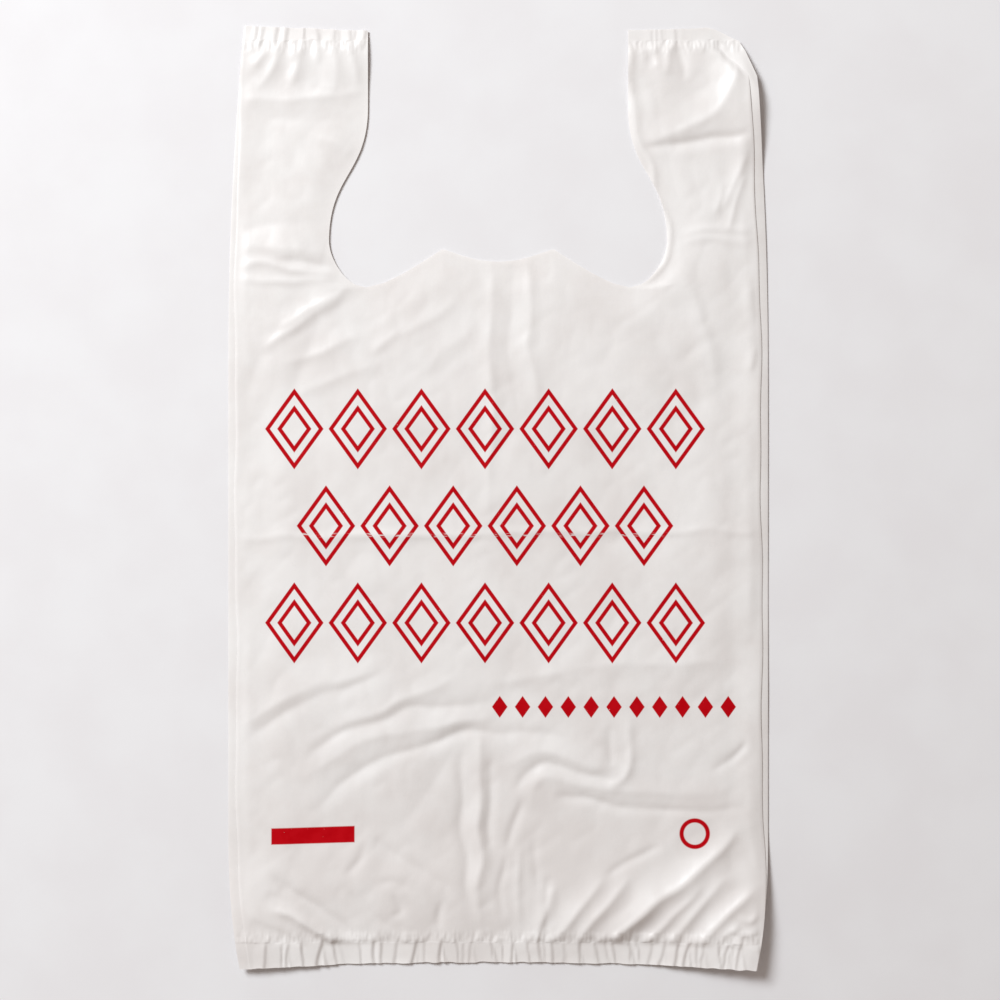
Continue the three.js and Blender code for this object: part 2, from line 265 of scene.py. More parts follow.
LOWER_RIGHT = [
    ([(63, -130), (63, -153)], 3.0, -0.72),
    ([(74, -128), (75, -149), (71, -161), (63, -164)], 3.0, 0.96),
    ([(5, -152), (20, -143), (37, -147), (58, -153)], 4.0, 0.88),
    ([(67, -162), (54, -157), (33, -153), (24, -149), (14, -156), (11, -162)], 2.6, -0.96),
    ([(18, -171), (21, -158), (31, -158), (50, -165), (75, -167), (126, -167)], 4.0, 0.88),
    ([(33, -167), (50, -172), (69, -175), (88, -177), (137, -177)], 2.2, -0.96),
    ([(14, -170), (5, -198)], 2.4, -0.8),
    ([(21, -194), (24, -222)], 2.4, -0.7),
    ([(3, -205), (1, -235)], 2.0, -0.7),
    ([(13, -200), (12, -240)], 2.2, 0.7),
    ([(30, -215), (26, -245)], 2.0, -0.7),
    ([(60, -250), (76, -238), (97, -222), (118, -207), (136, -190)], 7.0, 4.32),
    ([(84, -252), (93, -241), (102, -232), (114, -219)], 4.0, 2.4),
    ([(97, -251), (105, -241), (113, -231), (127, -214)], 4.0, 2.4),
    ([(115, -251), (124, -240), (133, -230), (141, -222)], 4.0, 2.4),
    ([(126, -249), (134, -241)], 2.6, 1.56),
    ([(131, -244), (138, -248), (146, -245)], 1.6, 1.32),
    ([(134, -237), (140, -240), (145, -236)], 1.4, 1.08),
    ([(46, -251), (52, -240), (58, -233), (72, -216)], 4.5, 2.16),
    ([(34, -250), (40, -240), (46, -232), (58, -216)], 4.5, 1.92),
    ([(62, -213), (76, -205), (90, -198)], 1.8, -1.08),
    ([(20, -250), (26, -236), (33, -222)], 3.0, 1.2),
    ([(122, -156), (139, -139)], 1.8, -1.08),
]

WRINKLES = LEFT_HANDLE + RIGHT_HANDLE + MIDDLE + LOWER_LEFT + LOWER_RIGHT

# Form of every wrinkle, how it wanders from its points, and the side that the light comes from

WRINKLE_SCALE = 1.05
WRINKLE_BASE = 0.9
WRINKLE_FOOT = 2.2
WRINKLE_REACH = 5.0
TAPER_END = 0.03
WANDER = 2.0
WANDER_CELL = 17.0
WANDER_SEEDS = (41, 42)
CREST = 0.3
LEAN = 0.12
LIGHT_SIDE = (-0.73, 0.68)
CORNER_CUT = 0.25

# Colours as 8-bit screen values, the light that comes through the film, and shine and roughness

FILM_WHITE = (250, 247, 245)
FILM_GREY = (239, 233, 230)
INK_RED = (182, 2, 14)
INK_LIGHT = (196, 16, 28)
TABLE_DARK = (231, 228, 229)
TABLE_LIGHT = (234, 232, 233)
THROUGH = 0.12
FILM_SHINE = 0.42
INK_SHINE = 0.05
INK_ROUGHNESS = 0.45
TABLE_SHINE = 0.2
TABLE_ROUGHNESS = 0.7

# Printed shapes, in millimetres on the front panel

ROW_MIDDLE_Y = -16.3
ROW_PITCH = 54.75
ROW_LEFT = -133.0
LOZENGE_PITCH = 35.9
LOZENGES = 7
LOZENGE_HALF = (16.6, 23.0)
OUTER_INSET = 2.0
INNER_SHARE = 0.5
LINE_HALF = 1.9
DIAMOND_LEFT = -5.5
DIAMOND_PITCH = 12.9
DIAMONDS = 11
DIAMOND_Y = -118.5
DIAMOND_HALF = (4.4, 6.2)
BAR_MIDDLE = (-104.5, -191.0)
BAR_HALF = (23.5, 4.6)
BAR_TILT = -0.03
RING_MIDDLE = (111.0, -190.0)
RING_RADIUS = 7.4
RING_LINE_HALF = 1.2
EDGE_SOFT = 0.35
SCUFF_Y = -21.5

# Film finish and painted shade, in millimetres: the welded lines, and the band above the hem that is painted
# greyer to stand for the shade there

SEAL_Y = -251.5
HANDLE_SEAL_Y = 258.0
WELD_WAVER = 1.2
SHADE_BAND_Y = -208.0
SHADE_BAND_REACH = 75.0
PAINTED_SHADE_DEPTH = 0.8
FOLD_SOFT = 3.0
GREY_SHARE = 0.6

# Stage, in metres

TABLE_HALF = 3.0
WINDOW_PLACE = (-1.6, 1.5, 2.05)
WINDOW_SIZE = 1.2
WINDOW_POWER = 101.0
WINDOW_COLOUR = (0.91, 0.964, 1.0)
SKY_STRENGTH = 0.32
SKY_COLOUR = (1.0, 0.87, 0.79, 1.0)
LENS = 85.0
SENSOR = 36.0
NEAREST_SEEN = 0.01
VIEW_WIDTH = 0.5655
VIEW_MIDDLE = (0.0011, -0.0017)


def smooth(t):
    t = np.clip(t, 0.0, 1.0)
    return t * t * (3.0 - 2.0 * t)


# Plan of the bag


def draw_in(from_end, shrink, taper):
    return shrink * np.maximum(0.0, 1.0 - from_end / taper) ** 2


def back_half(y):
    at_hem = draw_in(y + HALF_LENGTH, HEM_SHRINK, HEM_TAPER)
    return HALF_WIDTH - at_hem - draw_in(HALF_LENGTH - y, HANDLE_SHRINK, HANDLE_TAPER)


def back_edge(side, y):
    return side * back_half(y)


def front_edge(side, y):
    """The front panel's folds waver, and lie over the back's at the hem's right and the top's left."""
    waver = sum(height * np.sin(y / length + phase * side) for height, length, phase in FRONT_WAVES)
    if side > 0:
        shown = smooth((y + HALF_LENGTH - HEM_MEET) / HEM_PART)
    else:
        shown = LEAST_SHOWN + (1.0 - LEAST_SHOWN) * smooth((HALF_LENGTH - TOP_MEET - y) / TOP_PART)
    inset = FRONT_INSET * shown + WAVER_SHARE * waver * (1.0 + shown)
    return side * (back_half(y) - inset) - FRONT_SLANT * shown * y / HALF_LENGTH


def from_cut(x, y):
    """Distance from the cut edge of the mouth and the handles."""
    across = np.abs(x)
    beside = np.where(y > NOTCH_Y, across - handle_x(y), np.hypot(across - NOTCH_X, y - NOTCH_Y))
    return np.where(across < NOTCH_X, mouth_y(x) - y, beside)


def end_y(x):
    share = x / (HALF_WIDTH - HANDLE_SHRINK)
    return HALF_LENGTH - END_BOW * (1.0 - share * share)


def top_y(x, bulge):
    """Top of the handles, with the right handle's outer corner turned in along an edge with that bulge."""
    side_y = HALF_LENGTH - TURN_LENGTH
    side_x = back_half(side_y)
    out = bulge / np.hypot(TURN_WIDTH, TURN_LENGTH)
    middle_x = side_x - TURN_WIDTH / 2 + out * TURN_LENGTH
    middle_y = HALF_LENGTH - TURN_LENGTH / 2 + out * TURN_WIDTH
    turned = np.interp(x, [side_x - TURN_WIDTH, middle_x, side_x], [HALF_LENGTH, middle_y, side_y])
    return np.minimum(end_y(x), turned)


def bezier(a, b, c, d, steps=60):
    t = np.linspace(0.0, 1.0, steps)[:, None]
    a, b, c, d = (np.array(p, float) for p in (a, b, c, d))
    return a * (1 - t) ** 3 + 3 * b * t * (1 - t) ** 2 + 3 * c * t * t * (1 - t) + d * t**3


def mouth_line():
    """Right half of the mouth's edge, from its middle over the pointed ear to the notch."""
    foot_x = NOTCH_X - (NECK_X - NOTCH_X) / 2
    ear = (EAR_X, EAR_Y)
    dip = bezier((0, DIP_Y), (EAR_X / 2, DIP_Y), (EAR_X * 0.75, EAR_Y - (EAR_Y - DIP_Y) / 4), ear)
    slope = ((EAR_X + foot_x) / 2, (EAR_Y + NOTCH_Y) / 2)
    return np.vstack([dip, bezier(ear, slope, (foot_x, NOTCH_Y), (NOTCH_X, NOTCH_Y))])


def handle_line():
    """Right handle's inner edge, from the notch up."""
    corner = (NECK_X - NOTCH_X) / 2.0
    swing = (GAP_Y - NECK_Y) / 2.0
    low = (NOTCH_X + corner, NOTCH_Y)
    notch = bezier((NOTCH_X, NOTCH_Y), low, (NECK_X, NECK_Y - corner), (NECK_X, NECK_Y))
    neck = (NECK_X, NECK_Y + swing)
    return np.vstack([notch, bezier((NECK_X, NECK_Y), neck, (GAP_X, GAP_Y - swing), (GAP_X, GAP_Y))])


MOUTH = mouth_line()
HANDLE = handle_line()


def mouth_y(x):
    return np.interp(np.abs(x), MOUTH[:, 0], MOUTH[:, 1])


def handle_x(y):
    return np.interp(y, HANDLE[:, 1], HANDLE[:, 0])


def fold_x(y):
    """Inner edge of a side fold: the fold itself below the notch, the handle's cut edge above it."""
    near = smooth((y - NOTCH_Y + FOLD_TURN) / FOLD_TURN)
    return np.where(y > NOTCH_Y, handle_x(y), FOLD_X + (NOTCH_X - FOLD_X) * near)


# Heights


def value_noise(x, y, cell, seed):
    """Smooth random values from -1 to 1, with one draw for each corner of the cells."""
    table = np.random.default_rng(seed).uniform(-1.0, 1.0, (NOISE_CELLS, NOISE_CELLS))
    u = x / cell + NOISE_OFFSET
    v = y / cell + NOISE_OFFSET
    i = np.floor(u).astype(int)
    j = np.floor(v).astype(int)
    s = smooth(u - i)
    t = smooth(v - j)
    i, next_i = i % NOISE_CELLS, (i + 1) % NOISE_CELLS
    j, next_j = j % NOISE_CELLS, (j + 1) % NOISE_CELLS
    low = table[i, j] * (1 - s) + table[next_i, j] * s
    high = table[i, next_j] * (1 - s) + table[next_i, next_j] * s
    return low * (1 - t) + high * t


def uneven(x, y, kind):
    """Height of one kind of unevenness."""
    height, cell, seed = kind
    return height * value_noise(x, y, cell, seed)


def rounded(points, times=3):
    """Corner cutting: the same path with its corners smoothed away."""
    path = np.array(points, float)
    for _ in range(times):
        start = path[:-1] * (1.0 - CORNER_CUT) + path[1:] * CORNER_CUT
        end = path[:-1] * CORNER_CUT + path[1:] * (1.0 - CORNER_CUT)
        inner = np.stack([start, end], axis=1).reshape(-1, 2)
        path = np.vstack([path[:1], inner, path[-1:]])
    return path


def wrinkle(x, y, points, breadth, height):
    """Height of one crest or valley at points near it. It is steeper where it faces away from the light."""
    path = rounded(points)
    count = len(path) - 1
    nearest = np.full(x.shape, np.inf)
    share = np.zeros(x.shape)
    facing = np.zeros(x.shape)
    for k in range(count):
        (ax, ay), (bx, by) = path[k], path[k + 1]
        dx, dy = bx - ax, by - ay
        t = np.clip(((x - ax) * dx + (y - ay) * dy) / (dx * dx + dy * dy), 0.0, 1.0)
        off_x = x - ax - t * dx
        off_y = y - ay - t * dy
        away = np.hypot(off_x, off_y)
        closer = away < nearest
        nearest = np.where(closer, away, nearest)
        share = np.where(closer, (k + t) / count, share)
        facing = np.where(closer, off_x * LIGHT_SIDE[0] + off_y * LIGHT_SIDE[1], facing)
    taper = np.sqrt(np.sin(np.pi * np.clip(share, TAPER_END, 1.0 - TAPER_END)))
    towards = facing / np.maximum(nearest, CREST)
    foot = WRINKLE_FOOT * breadth * (1.0 + np.sign(height) * LEAN * towards)
    rest = np.maximum(0.0, 1.0 - (np.hypot(nearest, CREST) - CREST) / foot)
    return WRINKLE_SCALE * height * taper * rest * rest


def wrinkles(x, y):
    """All the wrinkles, through points that are shifted a little so that none runs dead straight."""
    total = np.zeros(x.shape)
    shift_x = WANDER * value_noise(x, y, WANDER_CELL, WANDER_SEEDS[0])
    shift_y = WANDER * value_noise(x, y, WANDER_CELL, WANDER_SEEDS[1])
    x, y = x + shift_x, y + shift_y
    for points, breadth, height in WRINKLES:
        reach = WRINKLE_REACH * breadth
        low = np.min(points, axis=0) - reach
        high = np.max(points, axis=0) + reach
        near = (x > low[0]) & (x < high[0]) & (y > low[1]) & (y < high[1])
        total[near] += wrinkle(x[near], y[near], points, breadth, height)
    return total * (WRINKLE_BASE + uneven(x, y, WRINKLE_UNEVEN))


def crumple(x, y):
    """Broad swells, and small flat facets that meet in faint creases, each on cells turned its own way."""
    broad = uneven(x, y, SWELL) + uneven(x + 0.5 * y, y - 0.3 * x, SKEW_SWELL)
    facets = np.abs(uneven(x - 0.6 * y, 0.8 * y + 0.5 * x, FACETS))
    small = np.abs(uneven(x + 0.4 * y, y - 0.7 * x, SMALL_FACETS))
    return broad + facets + small


def seal_width(y):
    return np.where(y < 0.0, HEM, HANDLE_SEAL)


def pleats(x, past_seal, run):
    """Uneven pleats along one seal: each rises to the right, drops, and dies out above the seal."""
    first, last, pitch, height, seed = run
    rng = np.random.default_rng(seed)
    count = int(2 * (last - first) / pitch)
    edges = first + np.cumsum(pitch * rng.uniform(*PITCH_SPREAD, count))
    tops = height * rng.uniform(*TOP_SPREAD, count)
    reaches = PLEAT_REACH * rng.uniform(*REACH_SPREAD, count)
    leans = rng.uniform(-PLEAT_LEAN, PLEAT_LEAN, count)
    k = np.clip(np.searchsorted(edges, x), 1, count - 1)
    sway = PLEAT_SWAY * value_noise(x, PLEAT_SWAY_STRETCH * past_seal, PLEAT_SWAY_CELL, seed)
    x = x + leans[k] * past_seal + sway
    k = np.clip(np.searchsorted(edges, x), 1, count - 1)
    share = (x - edges[k - 1]) / (edges[k] - edges[k - 1])
    drop = smooth((edges[k] - x) / PLEAT_DROP)
    ends = smooth((x - first) / pitch) * smooth((last - x) / pitch)
    fade = smooth(1.0 - np.maximum(past_seal, 0.0) / reaches[k])
    return ends * fade * tops[k] * np.clip(share, 0.0, 1.0) * drop


def gather(x, y, past_seal):
    """Pleats and small puckers at the seals."""
    hem = pleats(x, past_seal, HEM_PLEATS)
    handles = pleats(x, past_seal, LEFT_PLEATS) + pleats(x, past_seal, RIGHT_PLEATS)
    near = smooth(past_seal / PUCKER_START) * smooth(1.0 - past_seal / PUCKER_REACH)
    puckered = value_noise(x, PUCKER_STRETCH * y, PUCKER_CELL, PUCKER_SEED)
    return np.where(y < 0.0, hem, handles) + PUCKER_HEIGHT * near * np.maximum(0.0, puckered)


def curl(x, y):
    height = np.zeros(x.shape)
    for across, along, top, reach in CURLS:
        away = np.hypot(x - across * HALF_WIDTH, y - along * HALF_LENGTH) / reach
        height += top * np.maximum(0.0, 1.0 - away * away) ** 2
    return height


def squeeze(past_seal):
    """Share of the layers' spacing that is left near a seal."""
    return HEM_LEVEL + (1.0 - HEM_LEVEL) * smooth((past_seal + SQUEEZE_START) / SQUEEZE_REACH)


def rolled(away, crest, foot):
    """Share of the lift near an edge: EDGE_SHARE on the edge, all on the crest, none past the foot."""
    outside = EDGE_SHARE + (1.0 - EDGE_SHARE) * smooth(away / crest)
    return outside * smooth((foot - away) / (foot - crest))


def lift(x, y, from_end):
    """How far all the layers stand off the table along the ends and the side folds."""
    from_side = back_half(y) - np.abs(x)
    share = 1.0 - LIFT_UNEVEN[0] + uneven(x, y, LIFT_UNEVEN)
    at_end = END_LIFT * rolled(from_end, END_CREST, np.where(y < 0.0, HEM_FOOT, TOP_FOOT))
    at_side = np.where(x < 0.0, LEFT_LIFT, RIGHT_LIFT) * rolled(from_side, SIDE_CREST, SIDE_FOOT)
    return share * np.hypot(at_end, at_side)


def layer_height(level):
    def height(x, y, from_end):
        spacing = squeeze(from_end - seal_width(y))
        return level * spacing + lift(x, y, from_end) + curl(x, y)

    return height


def front_height(x, y, from_end):
    """Height of the front panel: over the layers below it, with air, wrinkles and gathers."""
    past_seal = from_end - seal_width(y)
    from_side = np.minimum(front_edge(1, y) - x, x - front_edge(-1, y))
    risen = smooth(from_side / SIDE_RISE) * smooth(past_seal / SEAL_RISE)
    close = CUT_SHARE + (1.0 - CUT_SHARE) * smooth(from_cut(x, y) / CUT_RISE)
    free = smooth(from_side / FREE_FROM_SIDE) * smooth((past_seal + FREE_START) / FREE_FROM_SEAL)
    relief = AIR * risen * close + free * (wrinkles(x, y) + close * crumple(x, y))
    least = LEAST_GAP - (FRONT_Z - UPPER_FOLD_Z)
    room = least + 0.5 * (relief - least + np.hypot(relief - least, SOFT_FLOOR))
    return layer_height(FRONT_Z)(x, y, from_end) + room + gather(x, y, past_seal)


# Grids of points


def row_levels():
    body = np.linspace(-HALF_LENGTH, NOTCH_Y, BODY_ROWS + 1)
    handles = np.linspace(NOTCH_Y, HALF_LENGTH, HANDLE_ROWS + 1)
    return body, handles


def settle_ends(x, y, bulge):
    """Rows drawn to the bowed hem and to the tops of the handles, which waver a little."""
    waver = END_WAVER * (value_noise(x, np.sign(y), END_WAVER_CELL, END_WAVER_SEED) - 1.0) / 2.0
    hem_start = HEM_BLEND - HALF_LENGTH
    hem_share = np.clip((hem_start - y) / HEM_BLEND, 0.0, 1.0)
    low = hem_start - hem_share * (end_y(x) + waver + hem_start)
    top_share = np.clip((y - TOP_BLEND_Y) / (HALF_LENGTH - TOP_BLEND_Y), 0.0, 1.0)
    high = TOP_BLEND_Y + top_share * (top_y(x, bulge) + waver - TOP_BLEND_Y)
    return np.where(y < hem_start, low, np.where(y > TOP_BLEND_Y, high, y))


def side_grid(side, columns, crowding, inner, outer, bulge):
    """Plan points of one side, closer together towards its outer fold, and their distance from the end."""
    body, handles = row_levels()
    levels = np.concatenate([body, handles[1:]])[:, None]
    share = 1.0 - np.linspace(1.0, 0.0, columns + 1)[None, :] ** crowding
    y = levels + 0.0 * share
    for _ in range(3):
        x = side * inner(y) + share * (outer(side, y) - side * inner(y))
        y = settle_ends(x, levels + 0.0 * share, bulge)
    return x, y, HALF_LENGTH - np.abs(levels) + 0.0 * share


def mouth_grid(columns):
    body, _ = row_levels()
    levels = body[:, None]
    x = np.linspace(-NOTCH_X, NOTCH_X, columns + 1)[None, :] + 0.0 * levels
    share = np.clip((levels - MOUTH_BLEND_Y) / (NOTCH_Y - MOUTH_BLEND_Y), 0.0, 1.0)
    risen = MOUTH_BLEND_Y + share * (mouth_y(x) - MOUTH_BLEND_Y)
    y = np.where(levels > MOUTH_BLEND_Y, risen, settle_ends(x, levels + 0.0 * x, 0.0))
    return x, y, HALF_LENGTH - np.abs(np.minimum(levels, 0.0)) + 0.0 * x


class Film:
    """Points and faces of the film, gathered sheet by sheet."""

    def __init__(self):
        self.points = []
        self.faces = []
        self.printed = []
        self.count = 0

    def add(self, x, y, z, up, printed):
        rows, columns = x.shape
        first = self.count + np.arange(rows * columns).reshape(rows, columns)
        corners = [first[:-1, :-1], first[:-1, 1:], first[1:, 1:], first[1:, :-1]]
        faces = np.stack([c.ravel() for c in corners], axis=1)
        rightward = x[0, -1] > x[0, 0]
        self.points.append(np.stack([x, y, z], axis=2).reshape(-1, 3))
        self.faces.append(faces if up == rightward else faces[:, ::-1])
        self.printed.append(np.full(len(faces), printed))
        self.count += rows * columns


def side_of_front(side):
    return side_grid(side, SIDE_COLUMNS, SIDE_CROWDING, handle_x, front_edge, 0.0)


def side_of_back(side):
    return side_grid(side, PLAIN_COLUMNS, PLAIN_CROWDING, handle_x, back_edge, TURN_BULGE)


def finer(values):
    """The same rows with BAND_SPLIT columns for each one, on straight lines between them."""
    count = values.shape[1] - 1
    at = np.linspace(0.0, count, count * BAND_SPLIT + 1)
    low = np.minimum(at.astype(int), count - 1)
    share = at - low
    return values[:, low] * (1.0 - share) + values[:, low + 1] * share


def front_sheet(film, points, z, top_rows):
    """One grid of the front panel, with finer columns in the gathered bands at its ends."""
    x, y, from_end = points
    last = len(x) - 1 - top_rows
    middle = slice(HEM_BAND_ROWS, last + 1)
    film.add(x[middle], y[middle], z[middle], True, True)
    bands = [(slice(0, HEM_BAND_ROWS + 1), -1)]
    if top_rows:
        bands.append((slice(last, None), 0))
    for rows, shared in bands:
        fine_x, fine_y, fine_end, straight = (finer(v[rows]) for v in (x, y, from_end, z))
        fine_z = front_height(fine_x, fine_y, fine_end)
        fine_z[shared] = straight[shared]
        fine_z[:, 0] = straight[:, 0]
        fine_z[:, -1] = straight[:, -1]
        film.add(fine_x, fine_y, fine_z, True, True)


def front_panel(film, fold):
    """Two sides with their handles, and the part under the mouth. fold is the height of the side edges."""
    for side in (-1, 1):
        x, y, from_end = side_of_front(side)
        z = front_height(x, y, from_end)
        z[:, -1] = fold(x[:, -1], y[:, -1], from_end[:, -1])
        front_sheet(film, (x, y, from_end), z, TOP_BAND_ROWS)
    points = mouth_grid(MOUTH_COLUMNS)
    front_sheet(film, points, front_height(*points), 0)


def back_panel(film, fold):
    """The same three grids for the plain back panel, with fewer columns."""
    height = layer_height(BACK_Z)
    for side in (-1, 1):
        x, y, from_end = side_of_back(side)
        z = height(x, y, from_end)
        z[:, -1] = fold(x[:, -1], y[:, -1], from_end[:, -1])
        film.add(x, y, z, False, False)
    x, y, from_end = mouth_grid(MOUTH_PLAIN_COLUMNS)
    film.add(x, y, height(x, y, from_end), False, False)


def side_fold(film, side, edge, bulge, level, fold, crease, up):
    """One film of a side fold, from the crease inside the bag to the panel that it joins."""
    x, y, from_end = side_grid(side, PLAIN_COLUMNS, PLAIN_CROWDING, fold_x, edge, bulge)
    z = layer_height(level)(x, y, from_end)
    z[:, -1] = fold(x[:, -1], y[:, -1], from_end[:, -1])
    below = BODY_ROWS + 1
    z[:below, 0] = crease(x[:below, 0], y[:below, 0], from_end[:below, 0])
    film.add(x, y, z, up, False)


def bag_film():
    """The whole bag: front and back panels, and the two films of each side fold."""
    film = Film()
    front_fold = layer_height((UPPER_FOLD_Z + FRONT_Z) / 2)
    back_fold = layer_height((BACK_Z + LOWER_FOLD_Z) / 2)
    crease = layer_height((LOWER_FOLD_Z + UPPER_FOLD_Z) / 2)
    front_panel(film, front_fold)
    back_panel(film, back_fold)
    for side in (-1, 1):
        side_fold(film, side, front_edge, 0.0, UPPER_FOLD_Z, front_fold, crease, False)
        side_fold(film, side, back_edge, TURN_BULGE, LOWER_FOLD_Z, back_fold, crease, True)
    return film


def film_object(film, materials):
    points = np.vstack(film.points) * MM
    mesh = bpy.data.meshes.new("bag_film")
    mesh.from_pydata(points.tolist(), [], np.vstack(film.faces).tolist())
    for material in materials:
        mesh.materials.append(material)
    plain = np.concatenate(film.printed) == 0
    mesh.polygons.foreach_set("material_index", plain.astype(np.int32))
    welded = bmesh.new()
    welded.from_mesh(mesh)
    bmesh.ops.remove_doubles(welded, verts=welded.verts, dist=WELD_DISTANCE)
    welded.to_mesh(mesh)
    welded.free()
    mesh.shade_smooth()
    mesh.set_sharp_from_angle(angle=FOLD_ANGLE)
    bag = bpy.data.objects.new("bag_film", mesh)
    bpy.context.scene.collection.objects.link(bag)
    return bag


# Materials


def linear(red, green, blue):
    """Scene-linear colour from 8-bit screen values."""
    values = np.array([red, green, blue]) / 255.0
    low = values / 12.92
    high = ((values + 0.055) / 1.055) ** 2.4
    return (*np.where(values < 0.04045, low, high).tolist(), 1.0)


class Nodes:
    """Short ways to add and link shader nodes in one material."""

    def __init__(self, name):
        self.material = bpy.data.materials.new(name)
        self.material.use_nodes = True
        self.tree = self.material.node_tree
        self.tree.nodes.clear()

    def new(self, kind, **settings):
        node = self.tree.nodes.new(kind)
        for name, value in settings.items():
            setattr(node, name, value)
        return node

    def feed(self, socket, value):
        if isinstance(value, bpy.types.NodeSocket):
            self.tree.links.new(value, socket)
        else:
            socket.default_value = value

    def math(self, operation, a, b=0.0, c=0.0):
        node = self.new("ShaderNodeMath", operation=operation)
        for socket, value in zip(node.inputs, (a, b, c)):
            self.feed(socket, value)
        return node.outputs[0]

    def position(self):
        """Place in millimetres, as a vector and as its x and y."""
        scale = self.new("ShaderNodeVectorMath", operation="SCALE")
        scale.inputs["Scale"].default_value = 1.0 / MM
        self.feed(scale.inputs[0], self.new("ShaderNodeTexCoord").outputs["Object"])
        parts = self.new("ShaderNodeSeparateXYZ")
        self.feed(parts.inputs[0], scale.outputs[0])
        return scale.outputs[0], parts.outputs[0], parts.outputs[1]

    def stretch(self, vector, scale):
        node = self.new("ShaderNodeVectorMath", operation="MULTIPLY")
        self.feed(node.inputs[0], vector)
        node.inputs[1].default_value = scale
        return node.outputs[0]

    def noise(self, vector, scale, detail=2.0, roughness=0.5):
        node = self.new("ShaderNodeTexNoise")
        self.feed(node.inputs["Vector"], vector)
        node.inputs["Scale"].default_value = scale
        node.inputs["Detail"].default_value = detail
        node.inputs["Roughness"].default_value = roughness
        return node.outputs["Fac"]

    def ramp(self, value, low, high, to_low=0.0, to_high=1.0):
        node = self.new("ShaderNodeMapRange", interpolation_type="SMOOTHSTEP")
        for socket, given in zip(node.inputs, (value, low, high, to_low, to_high)):
            self.feed(socket, given)
        return node.outputs[0]

    def mix(self, share, a, b):
        node = self.new("ShaderNodeMix", data_type="RGBA")
        self.feed(node.inputs["Factor"], share)
        self.feed(node.inputs[6], a)
        self.feed(node.inputs[7], b)
        return node.outputs[2]

    def bump(self, height, distance, strength, normal=None):
        node = self.new("ShaderNodeBump")
        node.inputs["Strength"].default_value = strength
        node.inputs["Distance"].default_value = distance
        self.feed(node.inputs["Height"], height)
        if normal is not None:
            self.feed(node.inputs["Normal"], normal)
        return node.outputs["Normal"]

    def surface(self, colour, roughness, normal, specular):
        node = self.new("ShaderNodeBsdfPrincipled")
        self.feed(node.inputs["Base Color"], colour)
        self.feed(node.inputs["Roughness"], roughness)
        self.feed(node.inputs["Normal"], normal)
        node.inputs["Specular IOR Level"].default_value = specular
        return node.outputs[0]

    def glow(self, colour):
        """Light that comes through the film from its other side."""
        node = self.new("ShaderNodeBsdfTranslucent")
        self.feed(node.inputs["Color"], colour)
        return node.outputs[0]

    def blend(self, share, a, b):
        node = self.new("ShaderNodeMixShader")
        self.feed(node.inputs["Fac"], share)
        self.feed(node.inputs[1], a)
        self.feed(node.inputs[2], b)
        return node.outputs[0]

    def finish(self, shader):
        self.feed(self.new("ShaderNodeOutputMaterial").inputs["Surface"], shader)
        return self.material


def inside(n, value, limit):
    """1 where value is under limit, with a soft printed edge."""
    return n.ramp(value, limit + EDGE_SOFT, limit - EDGE_SOFT)


def repeated(n, x, left, pitch):
    """Distance from the middle of the nearest repeat."""
    place = n.math("FLOORED_MODULO", n.math("SUBTRACT", x, left), pitch)
    return n.math("ABSOLUTE", n.math("SUBTRACT", place, pitch / 2))


def lozenge(n, across, along, half):
    """Distance measure of a lozenge: its half height at its outline."""
    a = n.math("DIVIDE", across, half[0])
    b = n.math("DIVIDE", along, half[1])
    return n.math("MULTIPLY", n.math("ADD", a, b), half[1])


def within(n, value, middle, half):
    away = n.math("ABSOLUTE", n.math("SUBTRACT", value, middle))
    return n.math("LESS_THAN", away, half)


def lozenge_rows(n, x, y):
    """Three rows of outlined lozenges, the middle row set half a pitch over."""
    width = LOZENGE_PITCH * LOZENGES
    middle_row = within(n, y, ROW_MIDDLE_Y, ROW_PITCH / 2)
    inset = n.math("MULTIPLY", middle_row, LOZENGE_PITCH / 2)
    across = repeated(n, n.math("SUBTRACT", x, inset), ROW_LEFT, LOZENGE_PITCH)
    along = repeated(n, y, ROW_MIDDLE_Y - ROW_PITCH * 1.5, ROW_PITCH)
    shape = lozenge(n, across, along, LOZENGE_HALF)
    outer = n.math("ABSOLUTE", n.math("SUBTRACT", shape, LOZENGE_HALF[1] - OUTER_INSET))
    inner = n.math("ABSOLUTE", n.math("SUBTRACT", shape, LOZENGE_HALF[1] * INNER_SHARE))
    lines = inside(n, n.math("MINIMUM", outer, inner), LINE_HALF)
    span = n.math("SUBTRACT", width / 2, inset)
    away = n.math("ABSOLUTE", n.math("SUBTRACT", x, ROW_LEFT + width / 2))
    in_row = n.math("LESS_THAN", away, span)
    in_rows = within(n, y, ROW_MIDDLE_Y, ROW_PITCH * 1.5)
    return n.math("MULTIPLY", lines, n.math("MULTIPLY", in_row, in_rows))


def diamond_line(n, x, y):
    across = repeated(n, x, DIAMOND_LEFT, DIAMOND_PITCH)
    along = n.math("ABSOLUTE", n.math("SUBTRACT", y, DIAMOND_Y))
    shape = inside(n, lozenge(n, across, along, DIAMOND_HALF), DIAMOND_HALF[1])
    half = DIAMOND_PITCH * DIAMONDS / 2
    return n.math("MULTIPLY", shape, within(n, x, DIAMOND_LEFT + half, half))


def bar(n, x, y):
    lifted = n.math("MULTIPLY_ADD", n.math("SUBTRACT", x, BAR_MIDDLE[0]), BAR_TILT, y)
    away_x = n.math("ABSOLUTE", n.math("SUBTRACT", x, BAR_MIDDLE[0]))
    away_y = n.math("ABSOLUTE", n.math("SUBTRACT", lifted, BAR_MIDDLE[1]))
    across = n.math("SUBTRACT", away_x, BAR_HALF[0])
    along = n.math("SUBTRACT", away_y, BAR_HALF[1])
    return inside(n, n.math("MAXIMUM", across, along), 0.0)


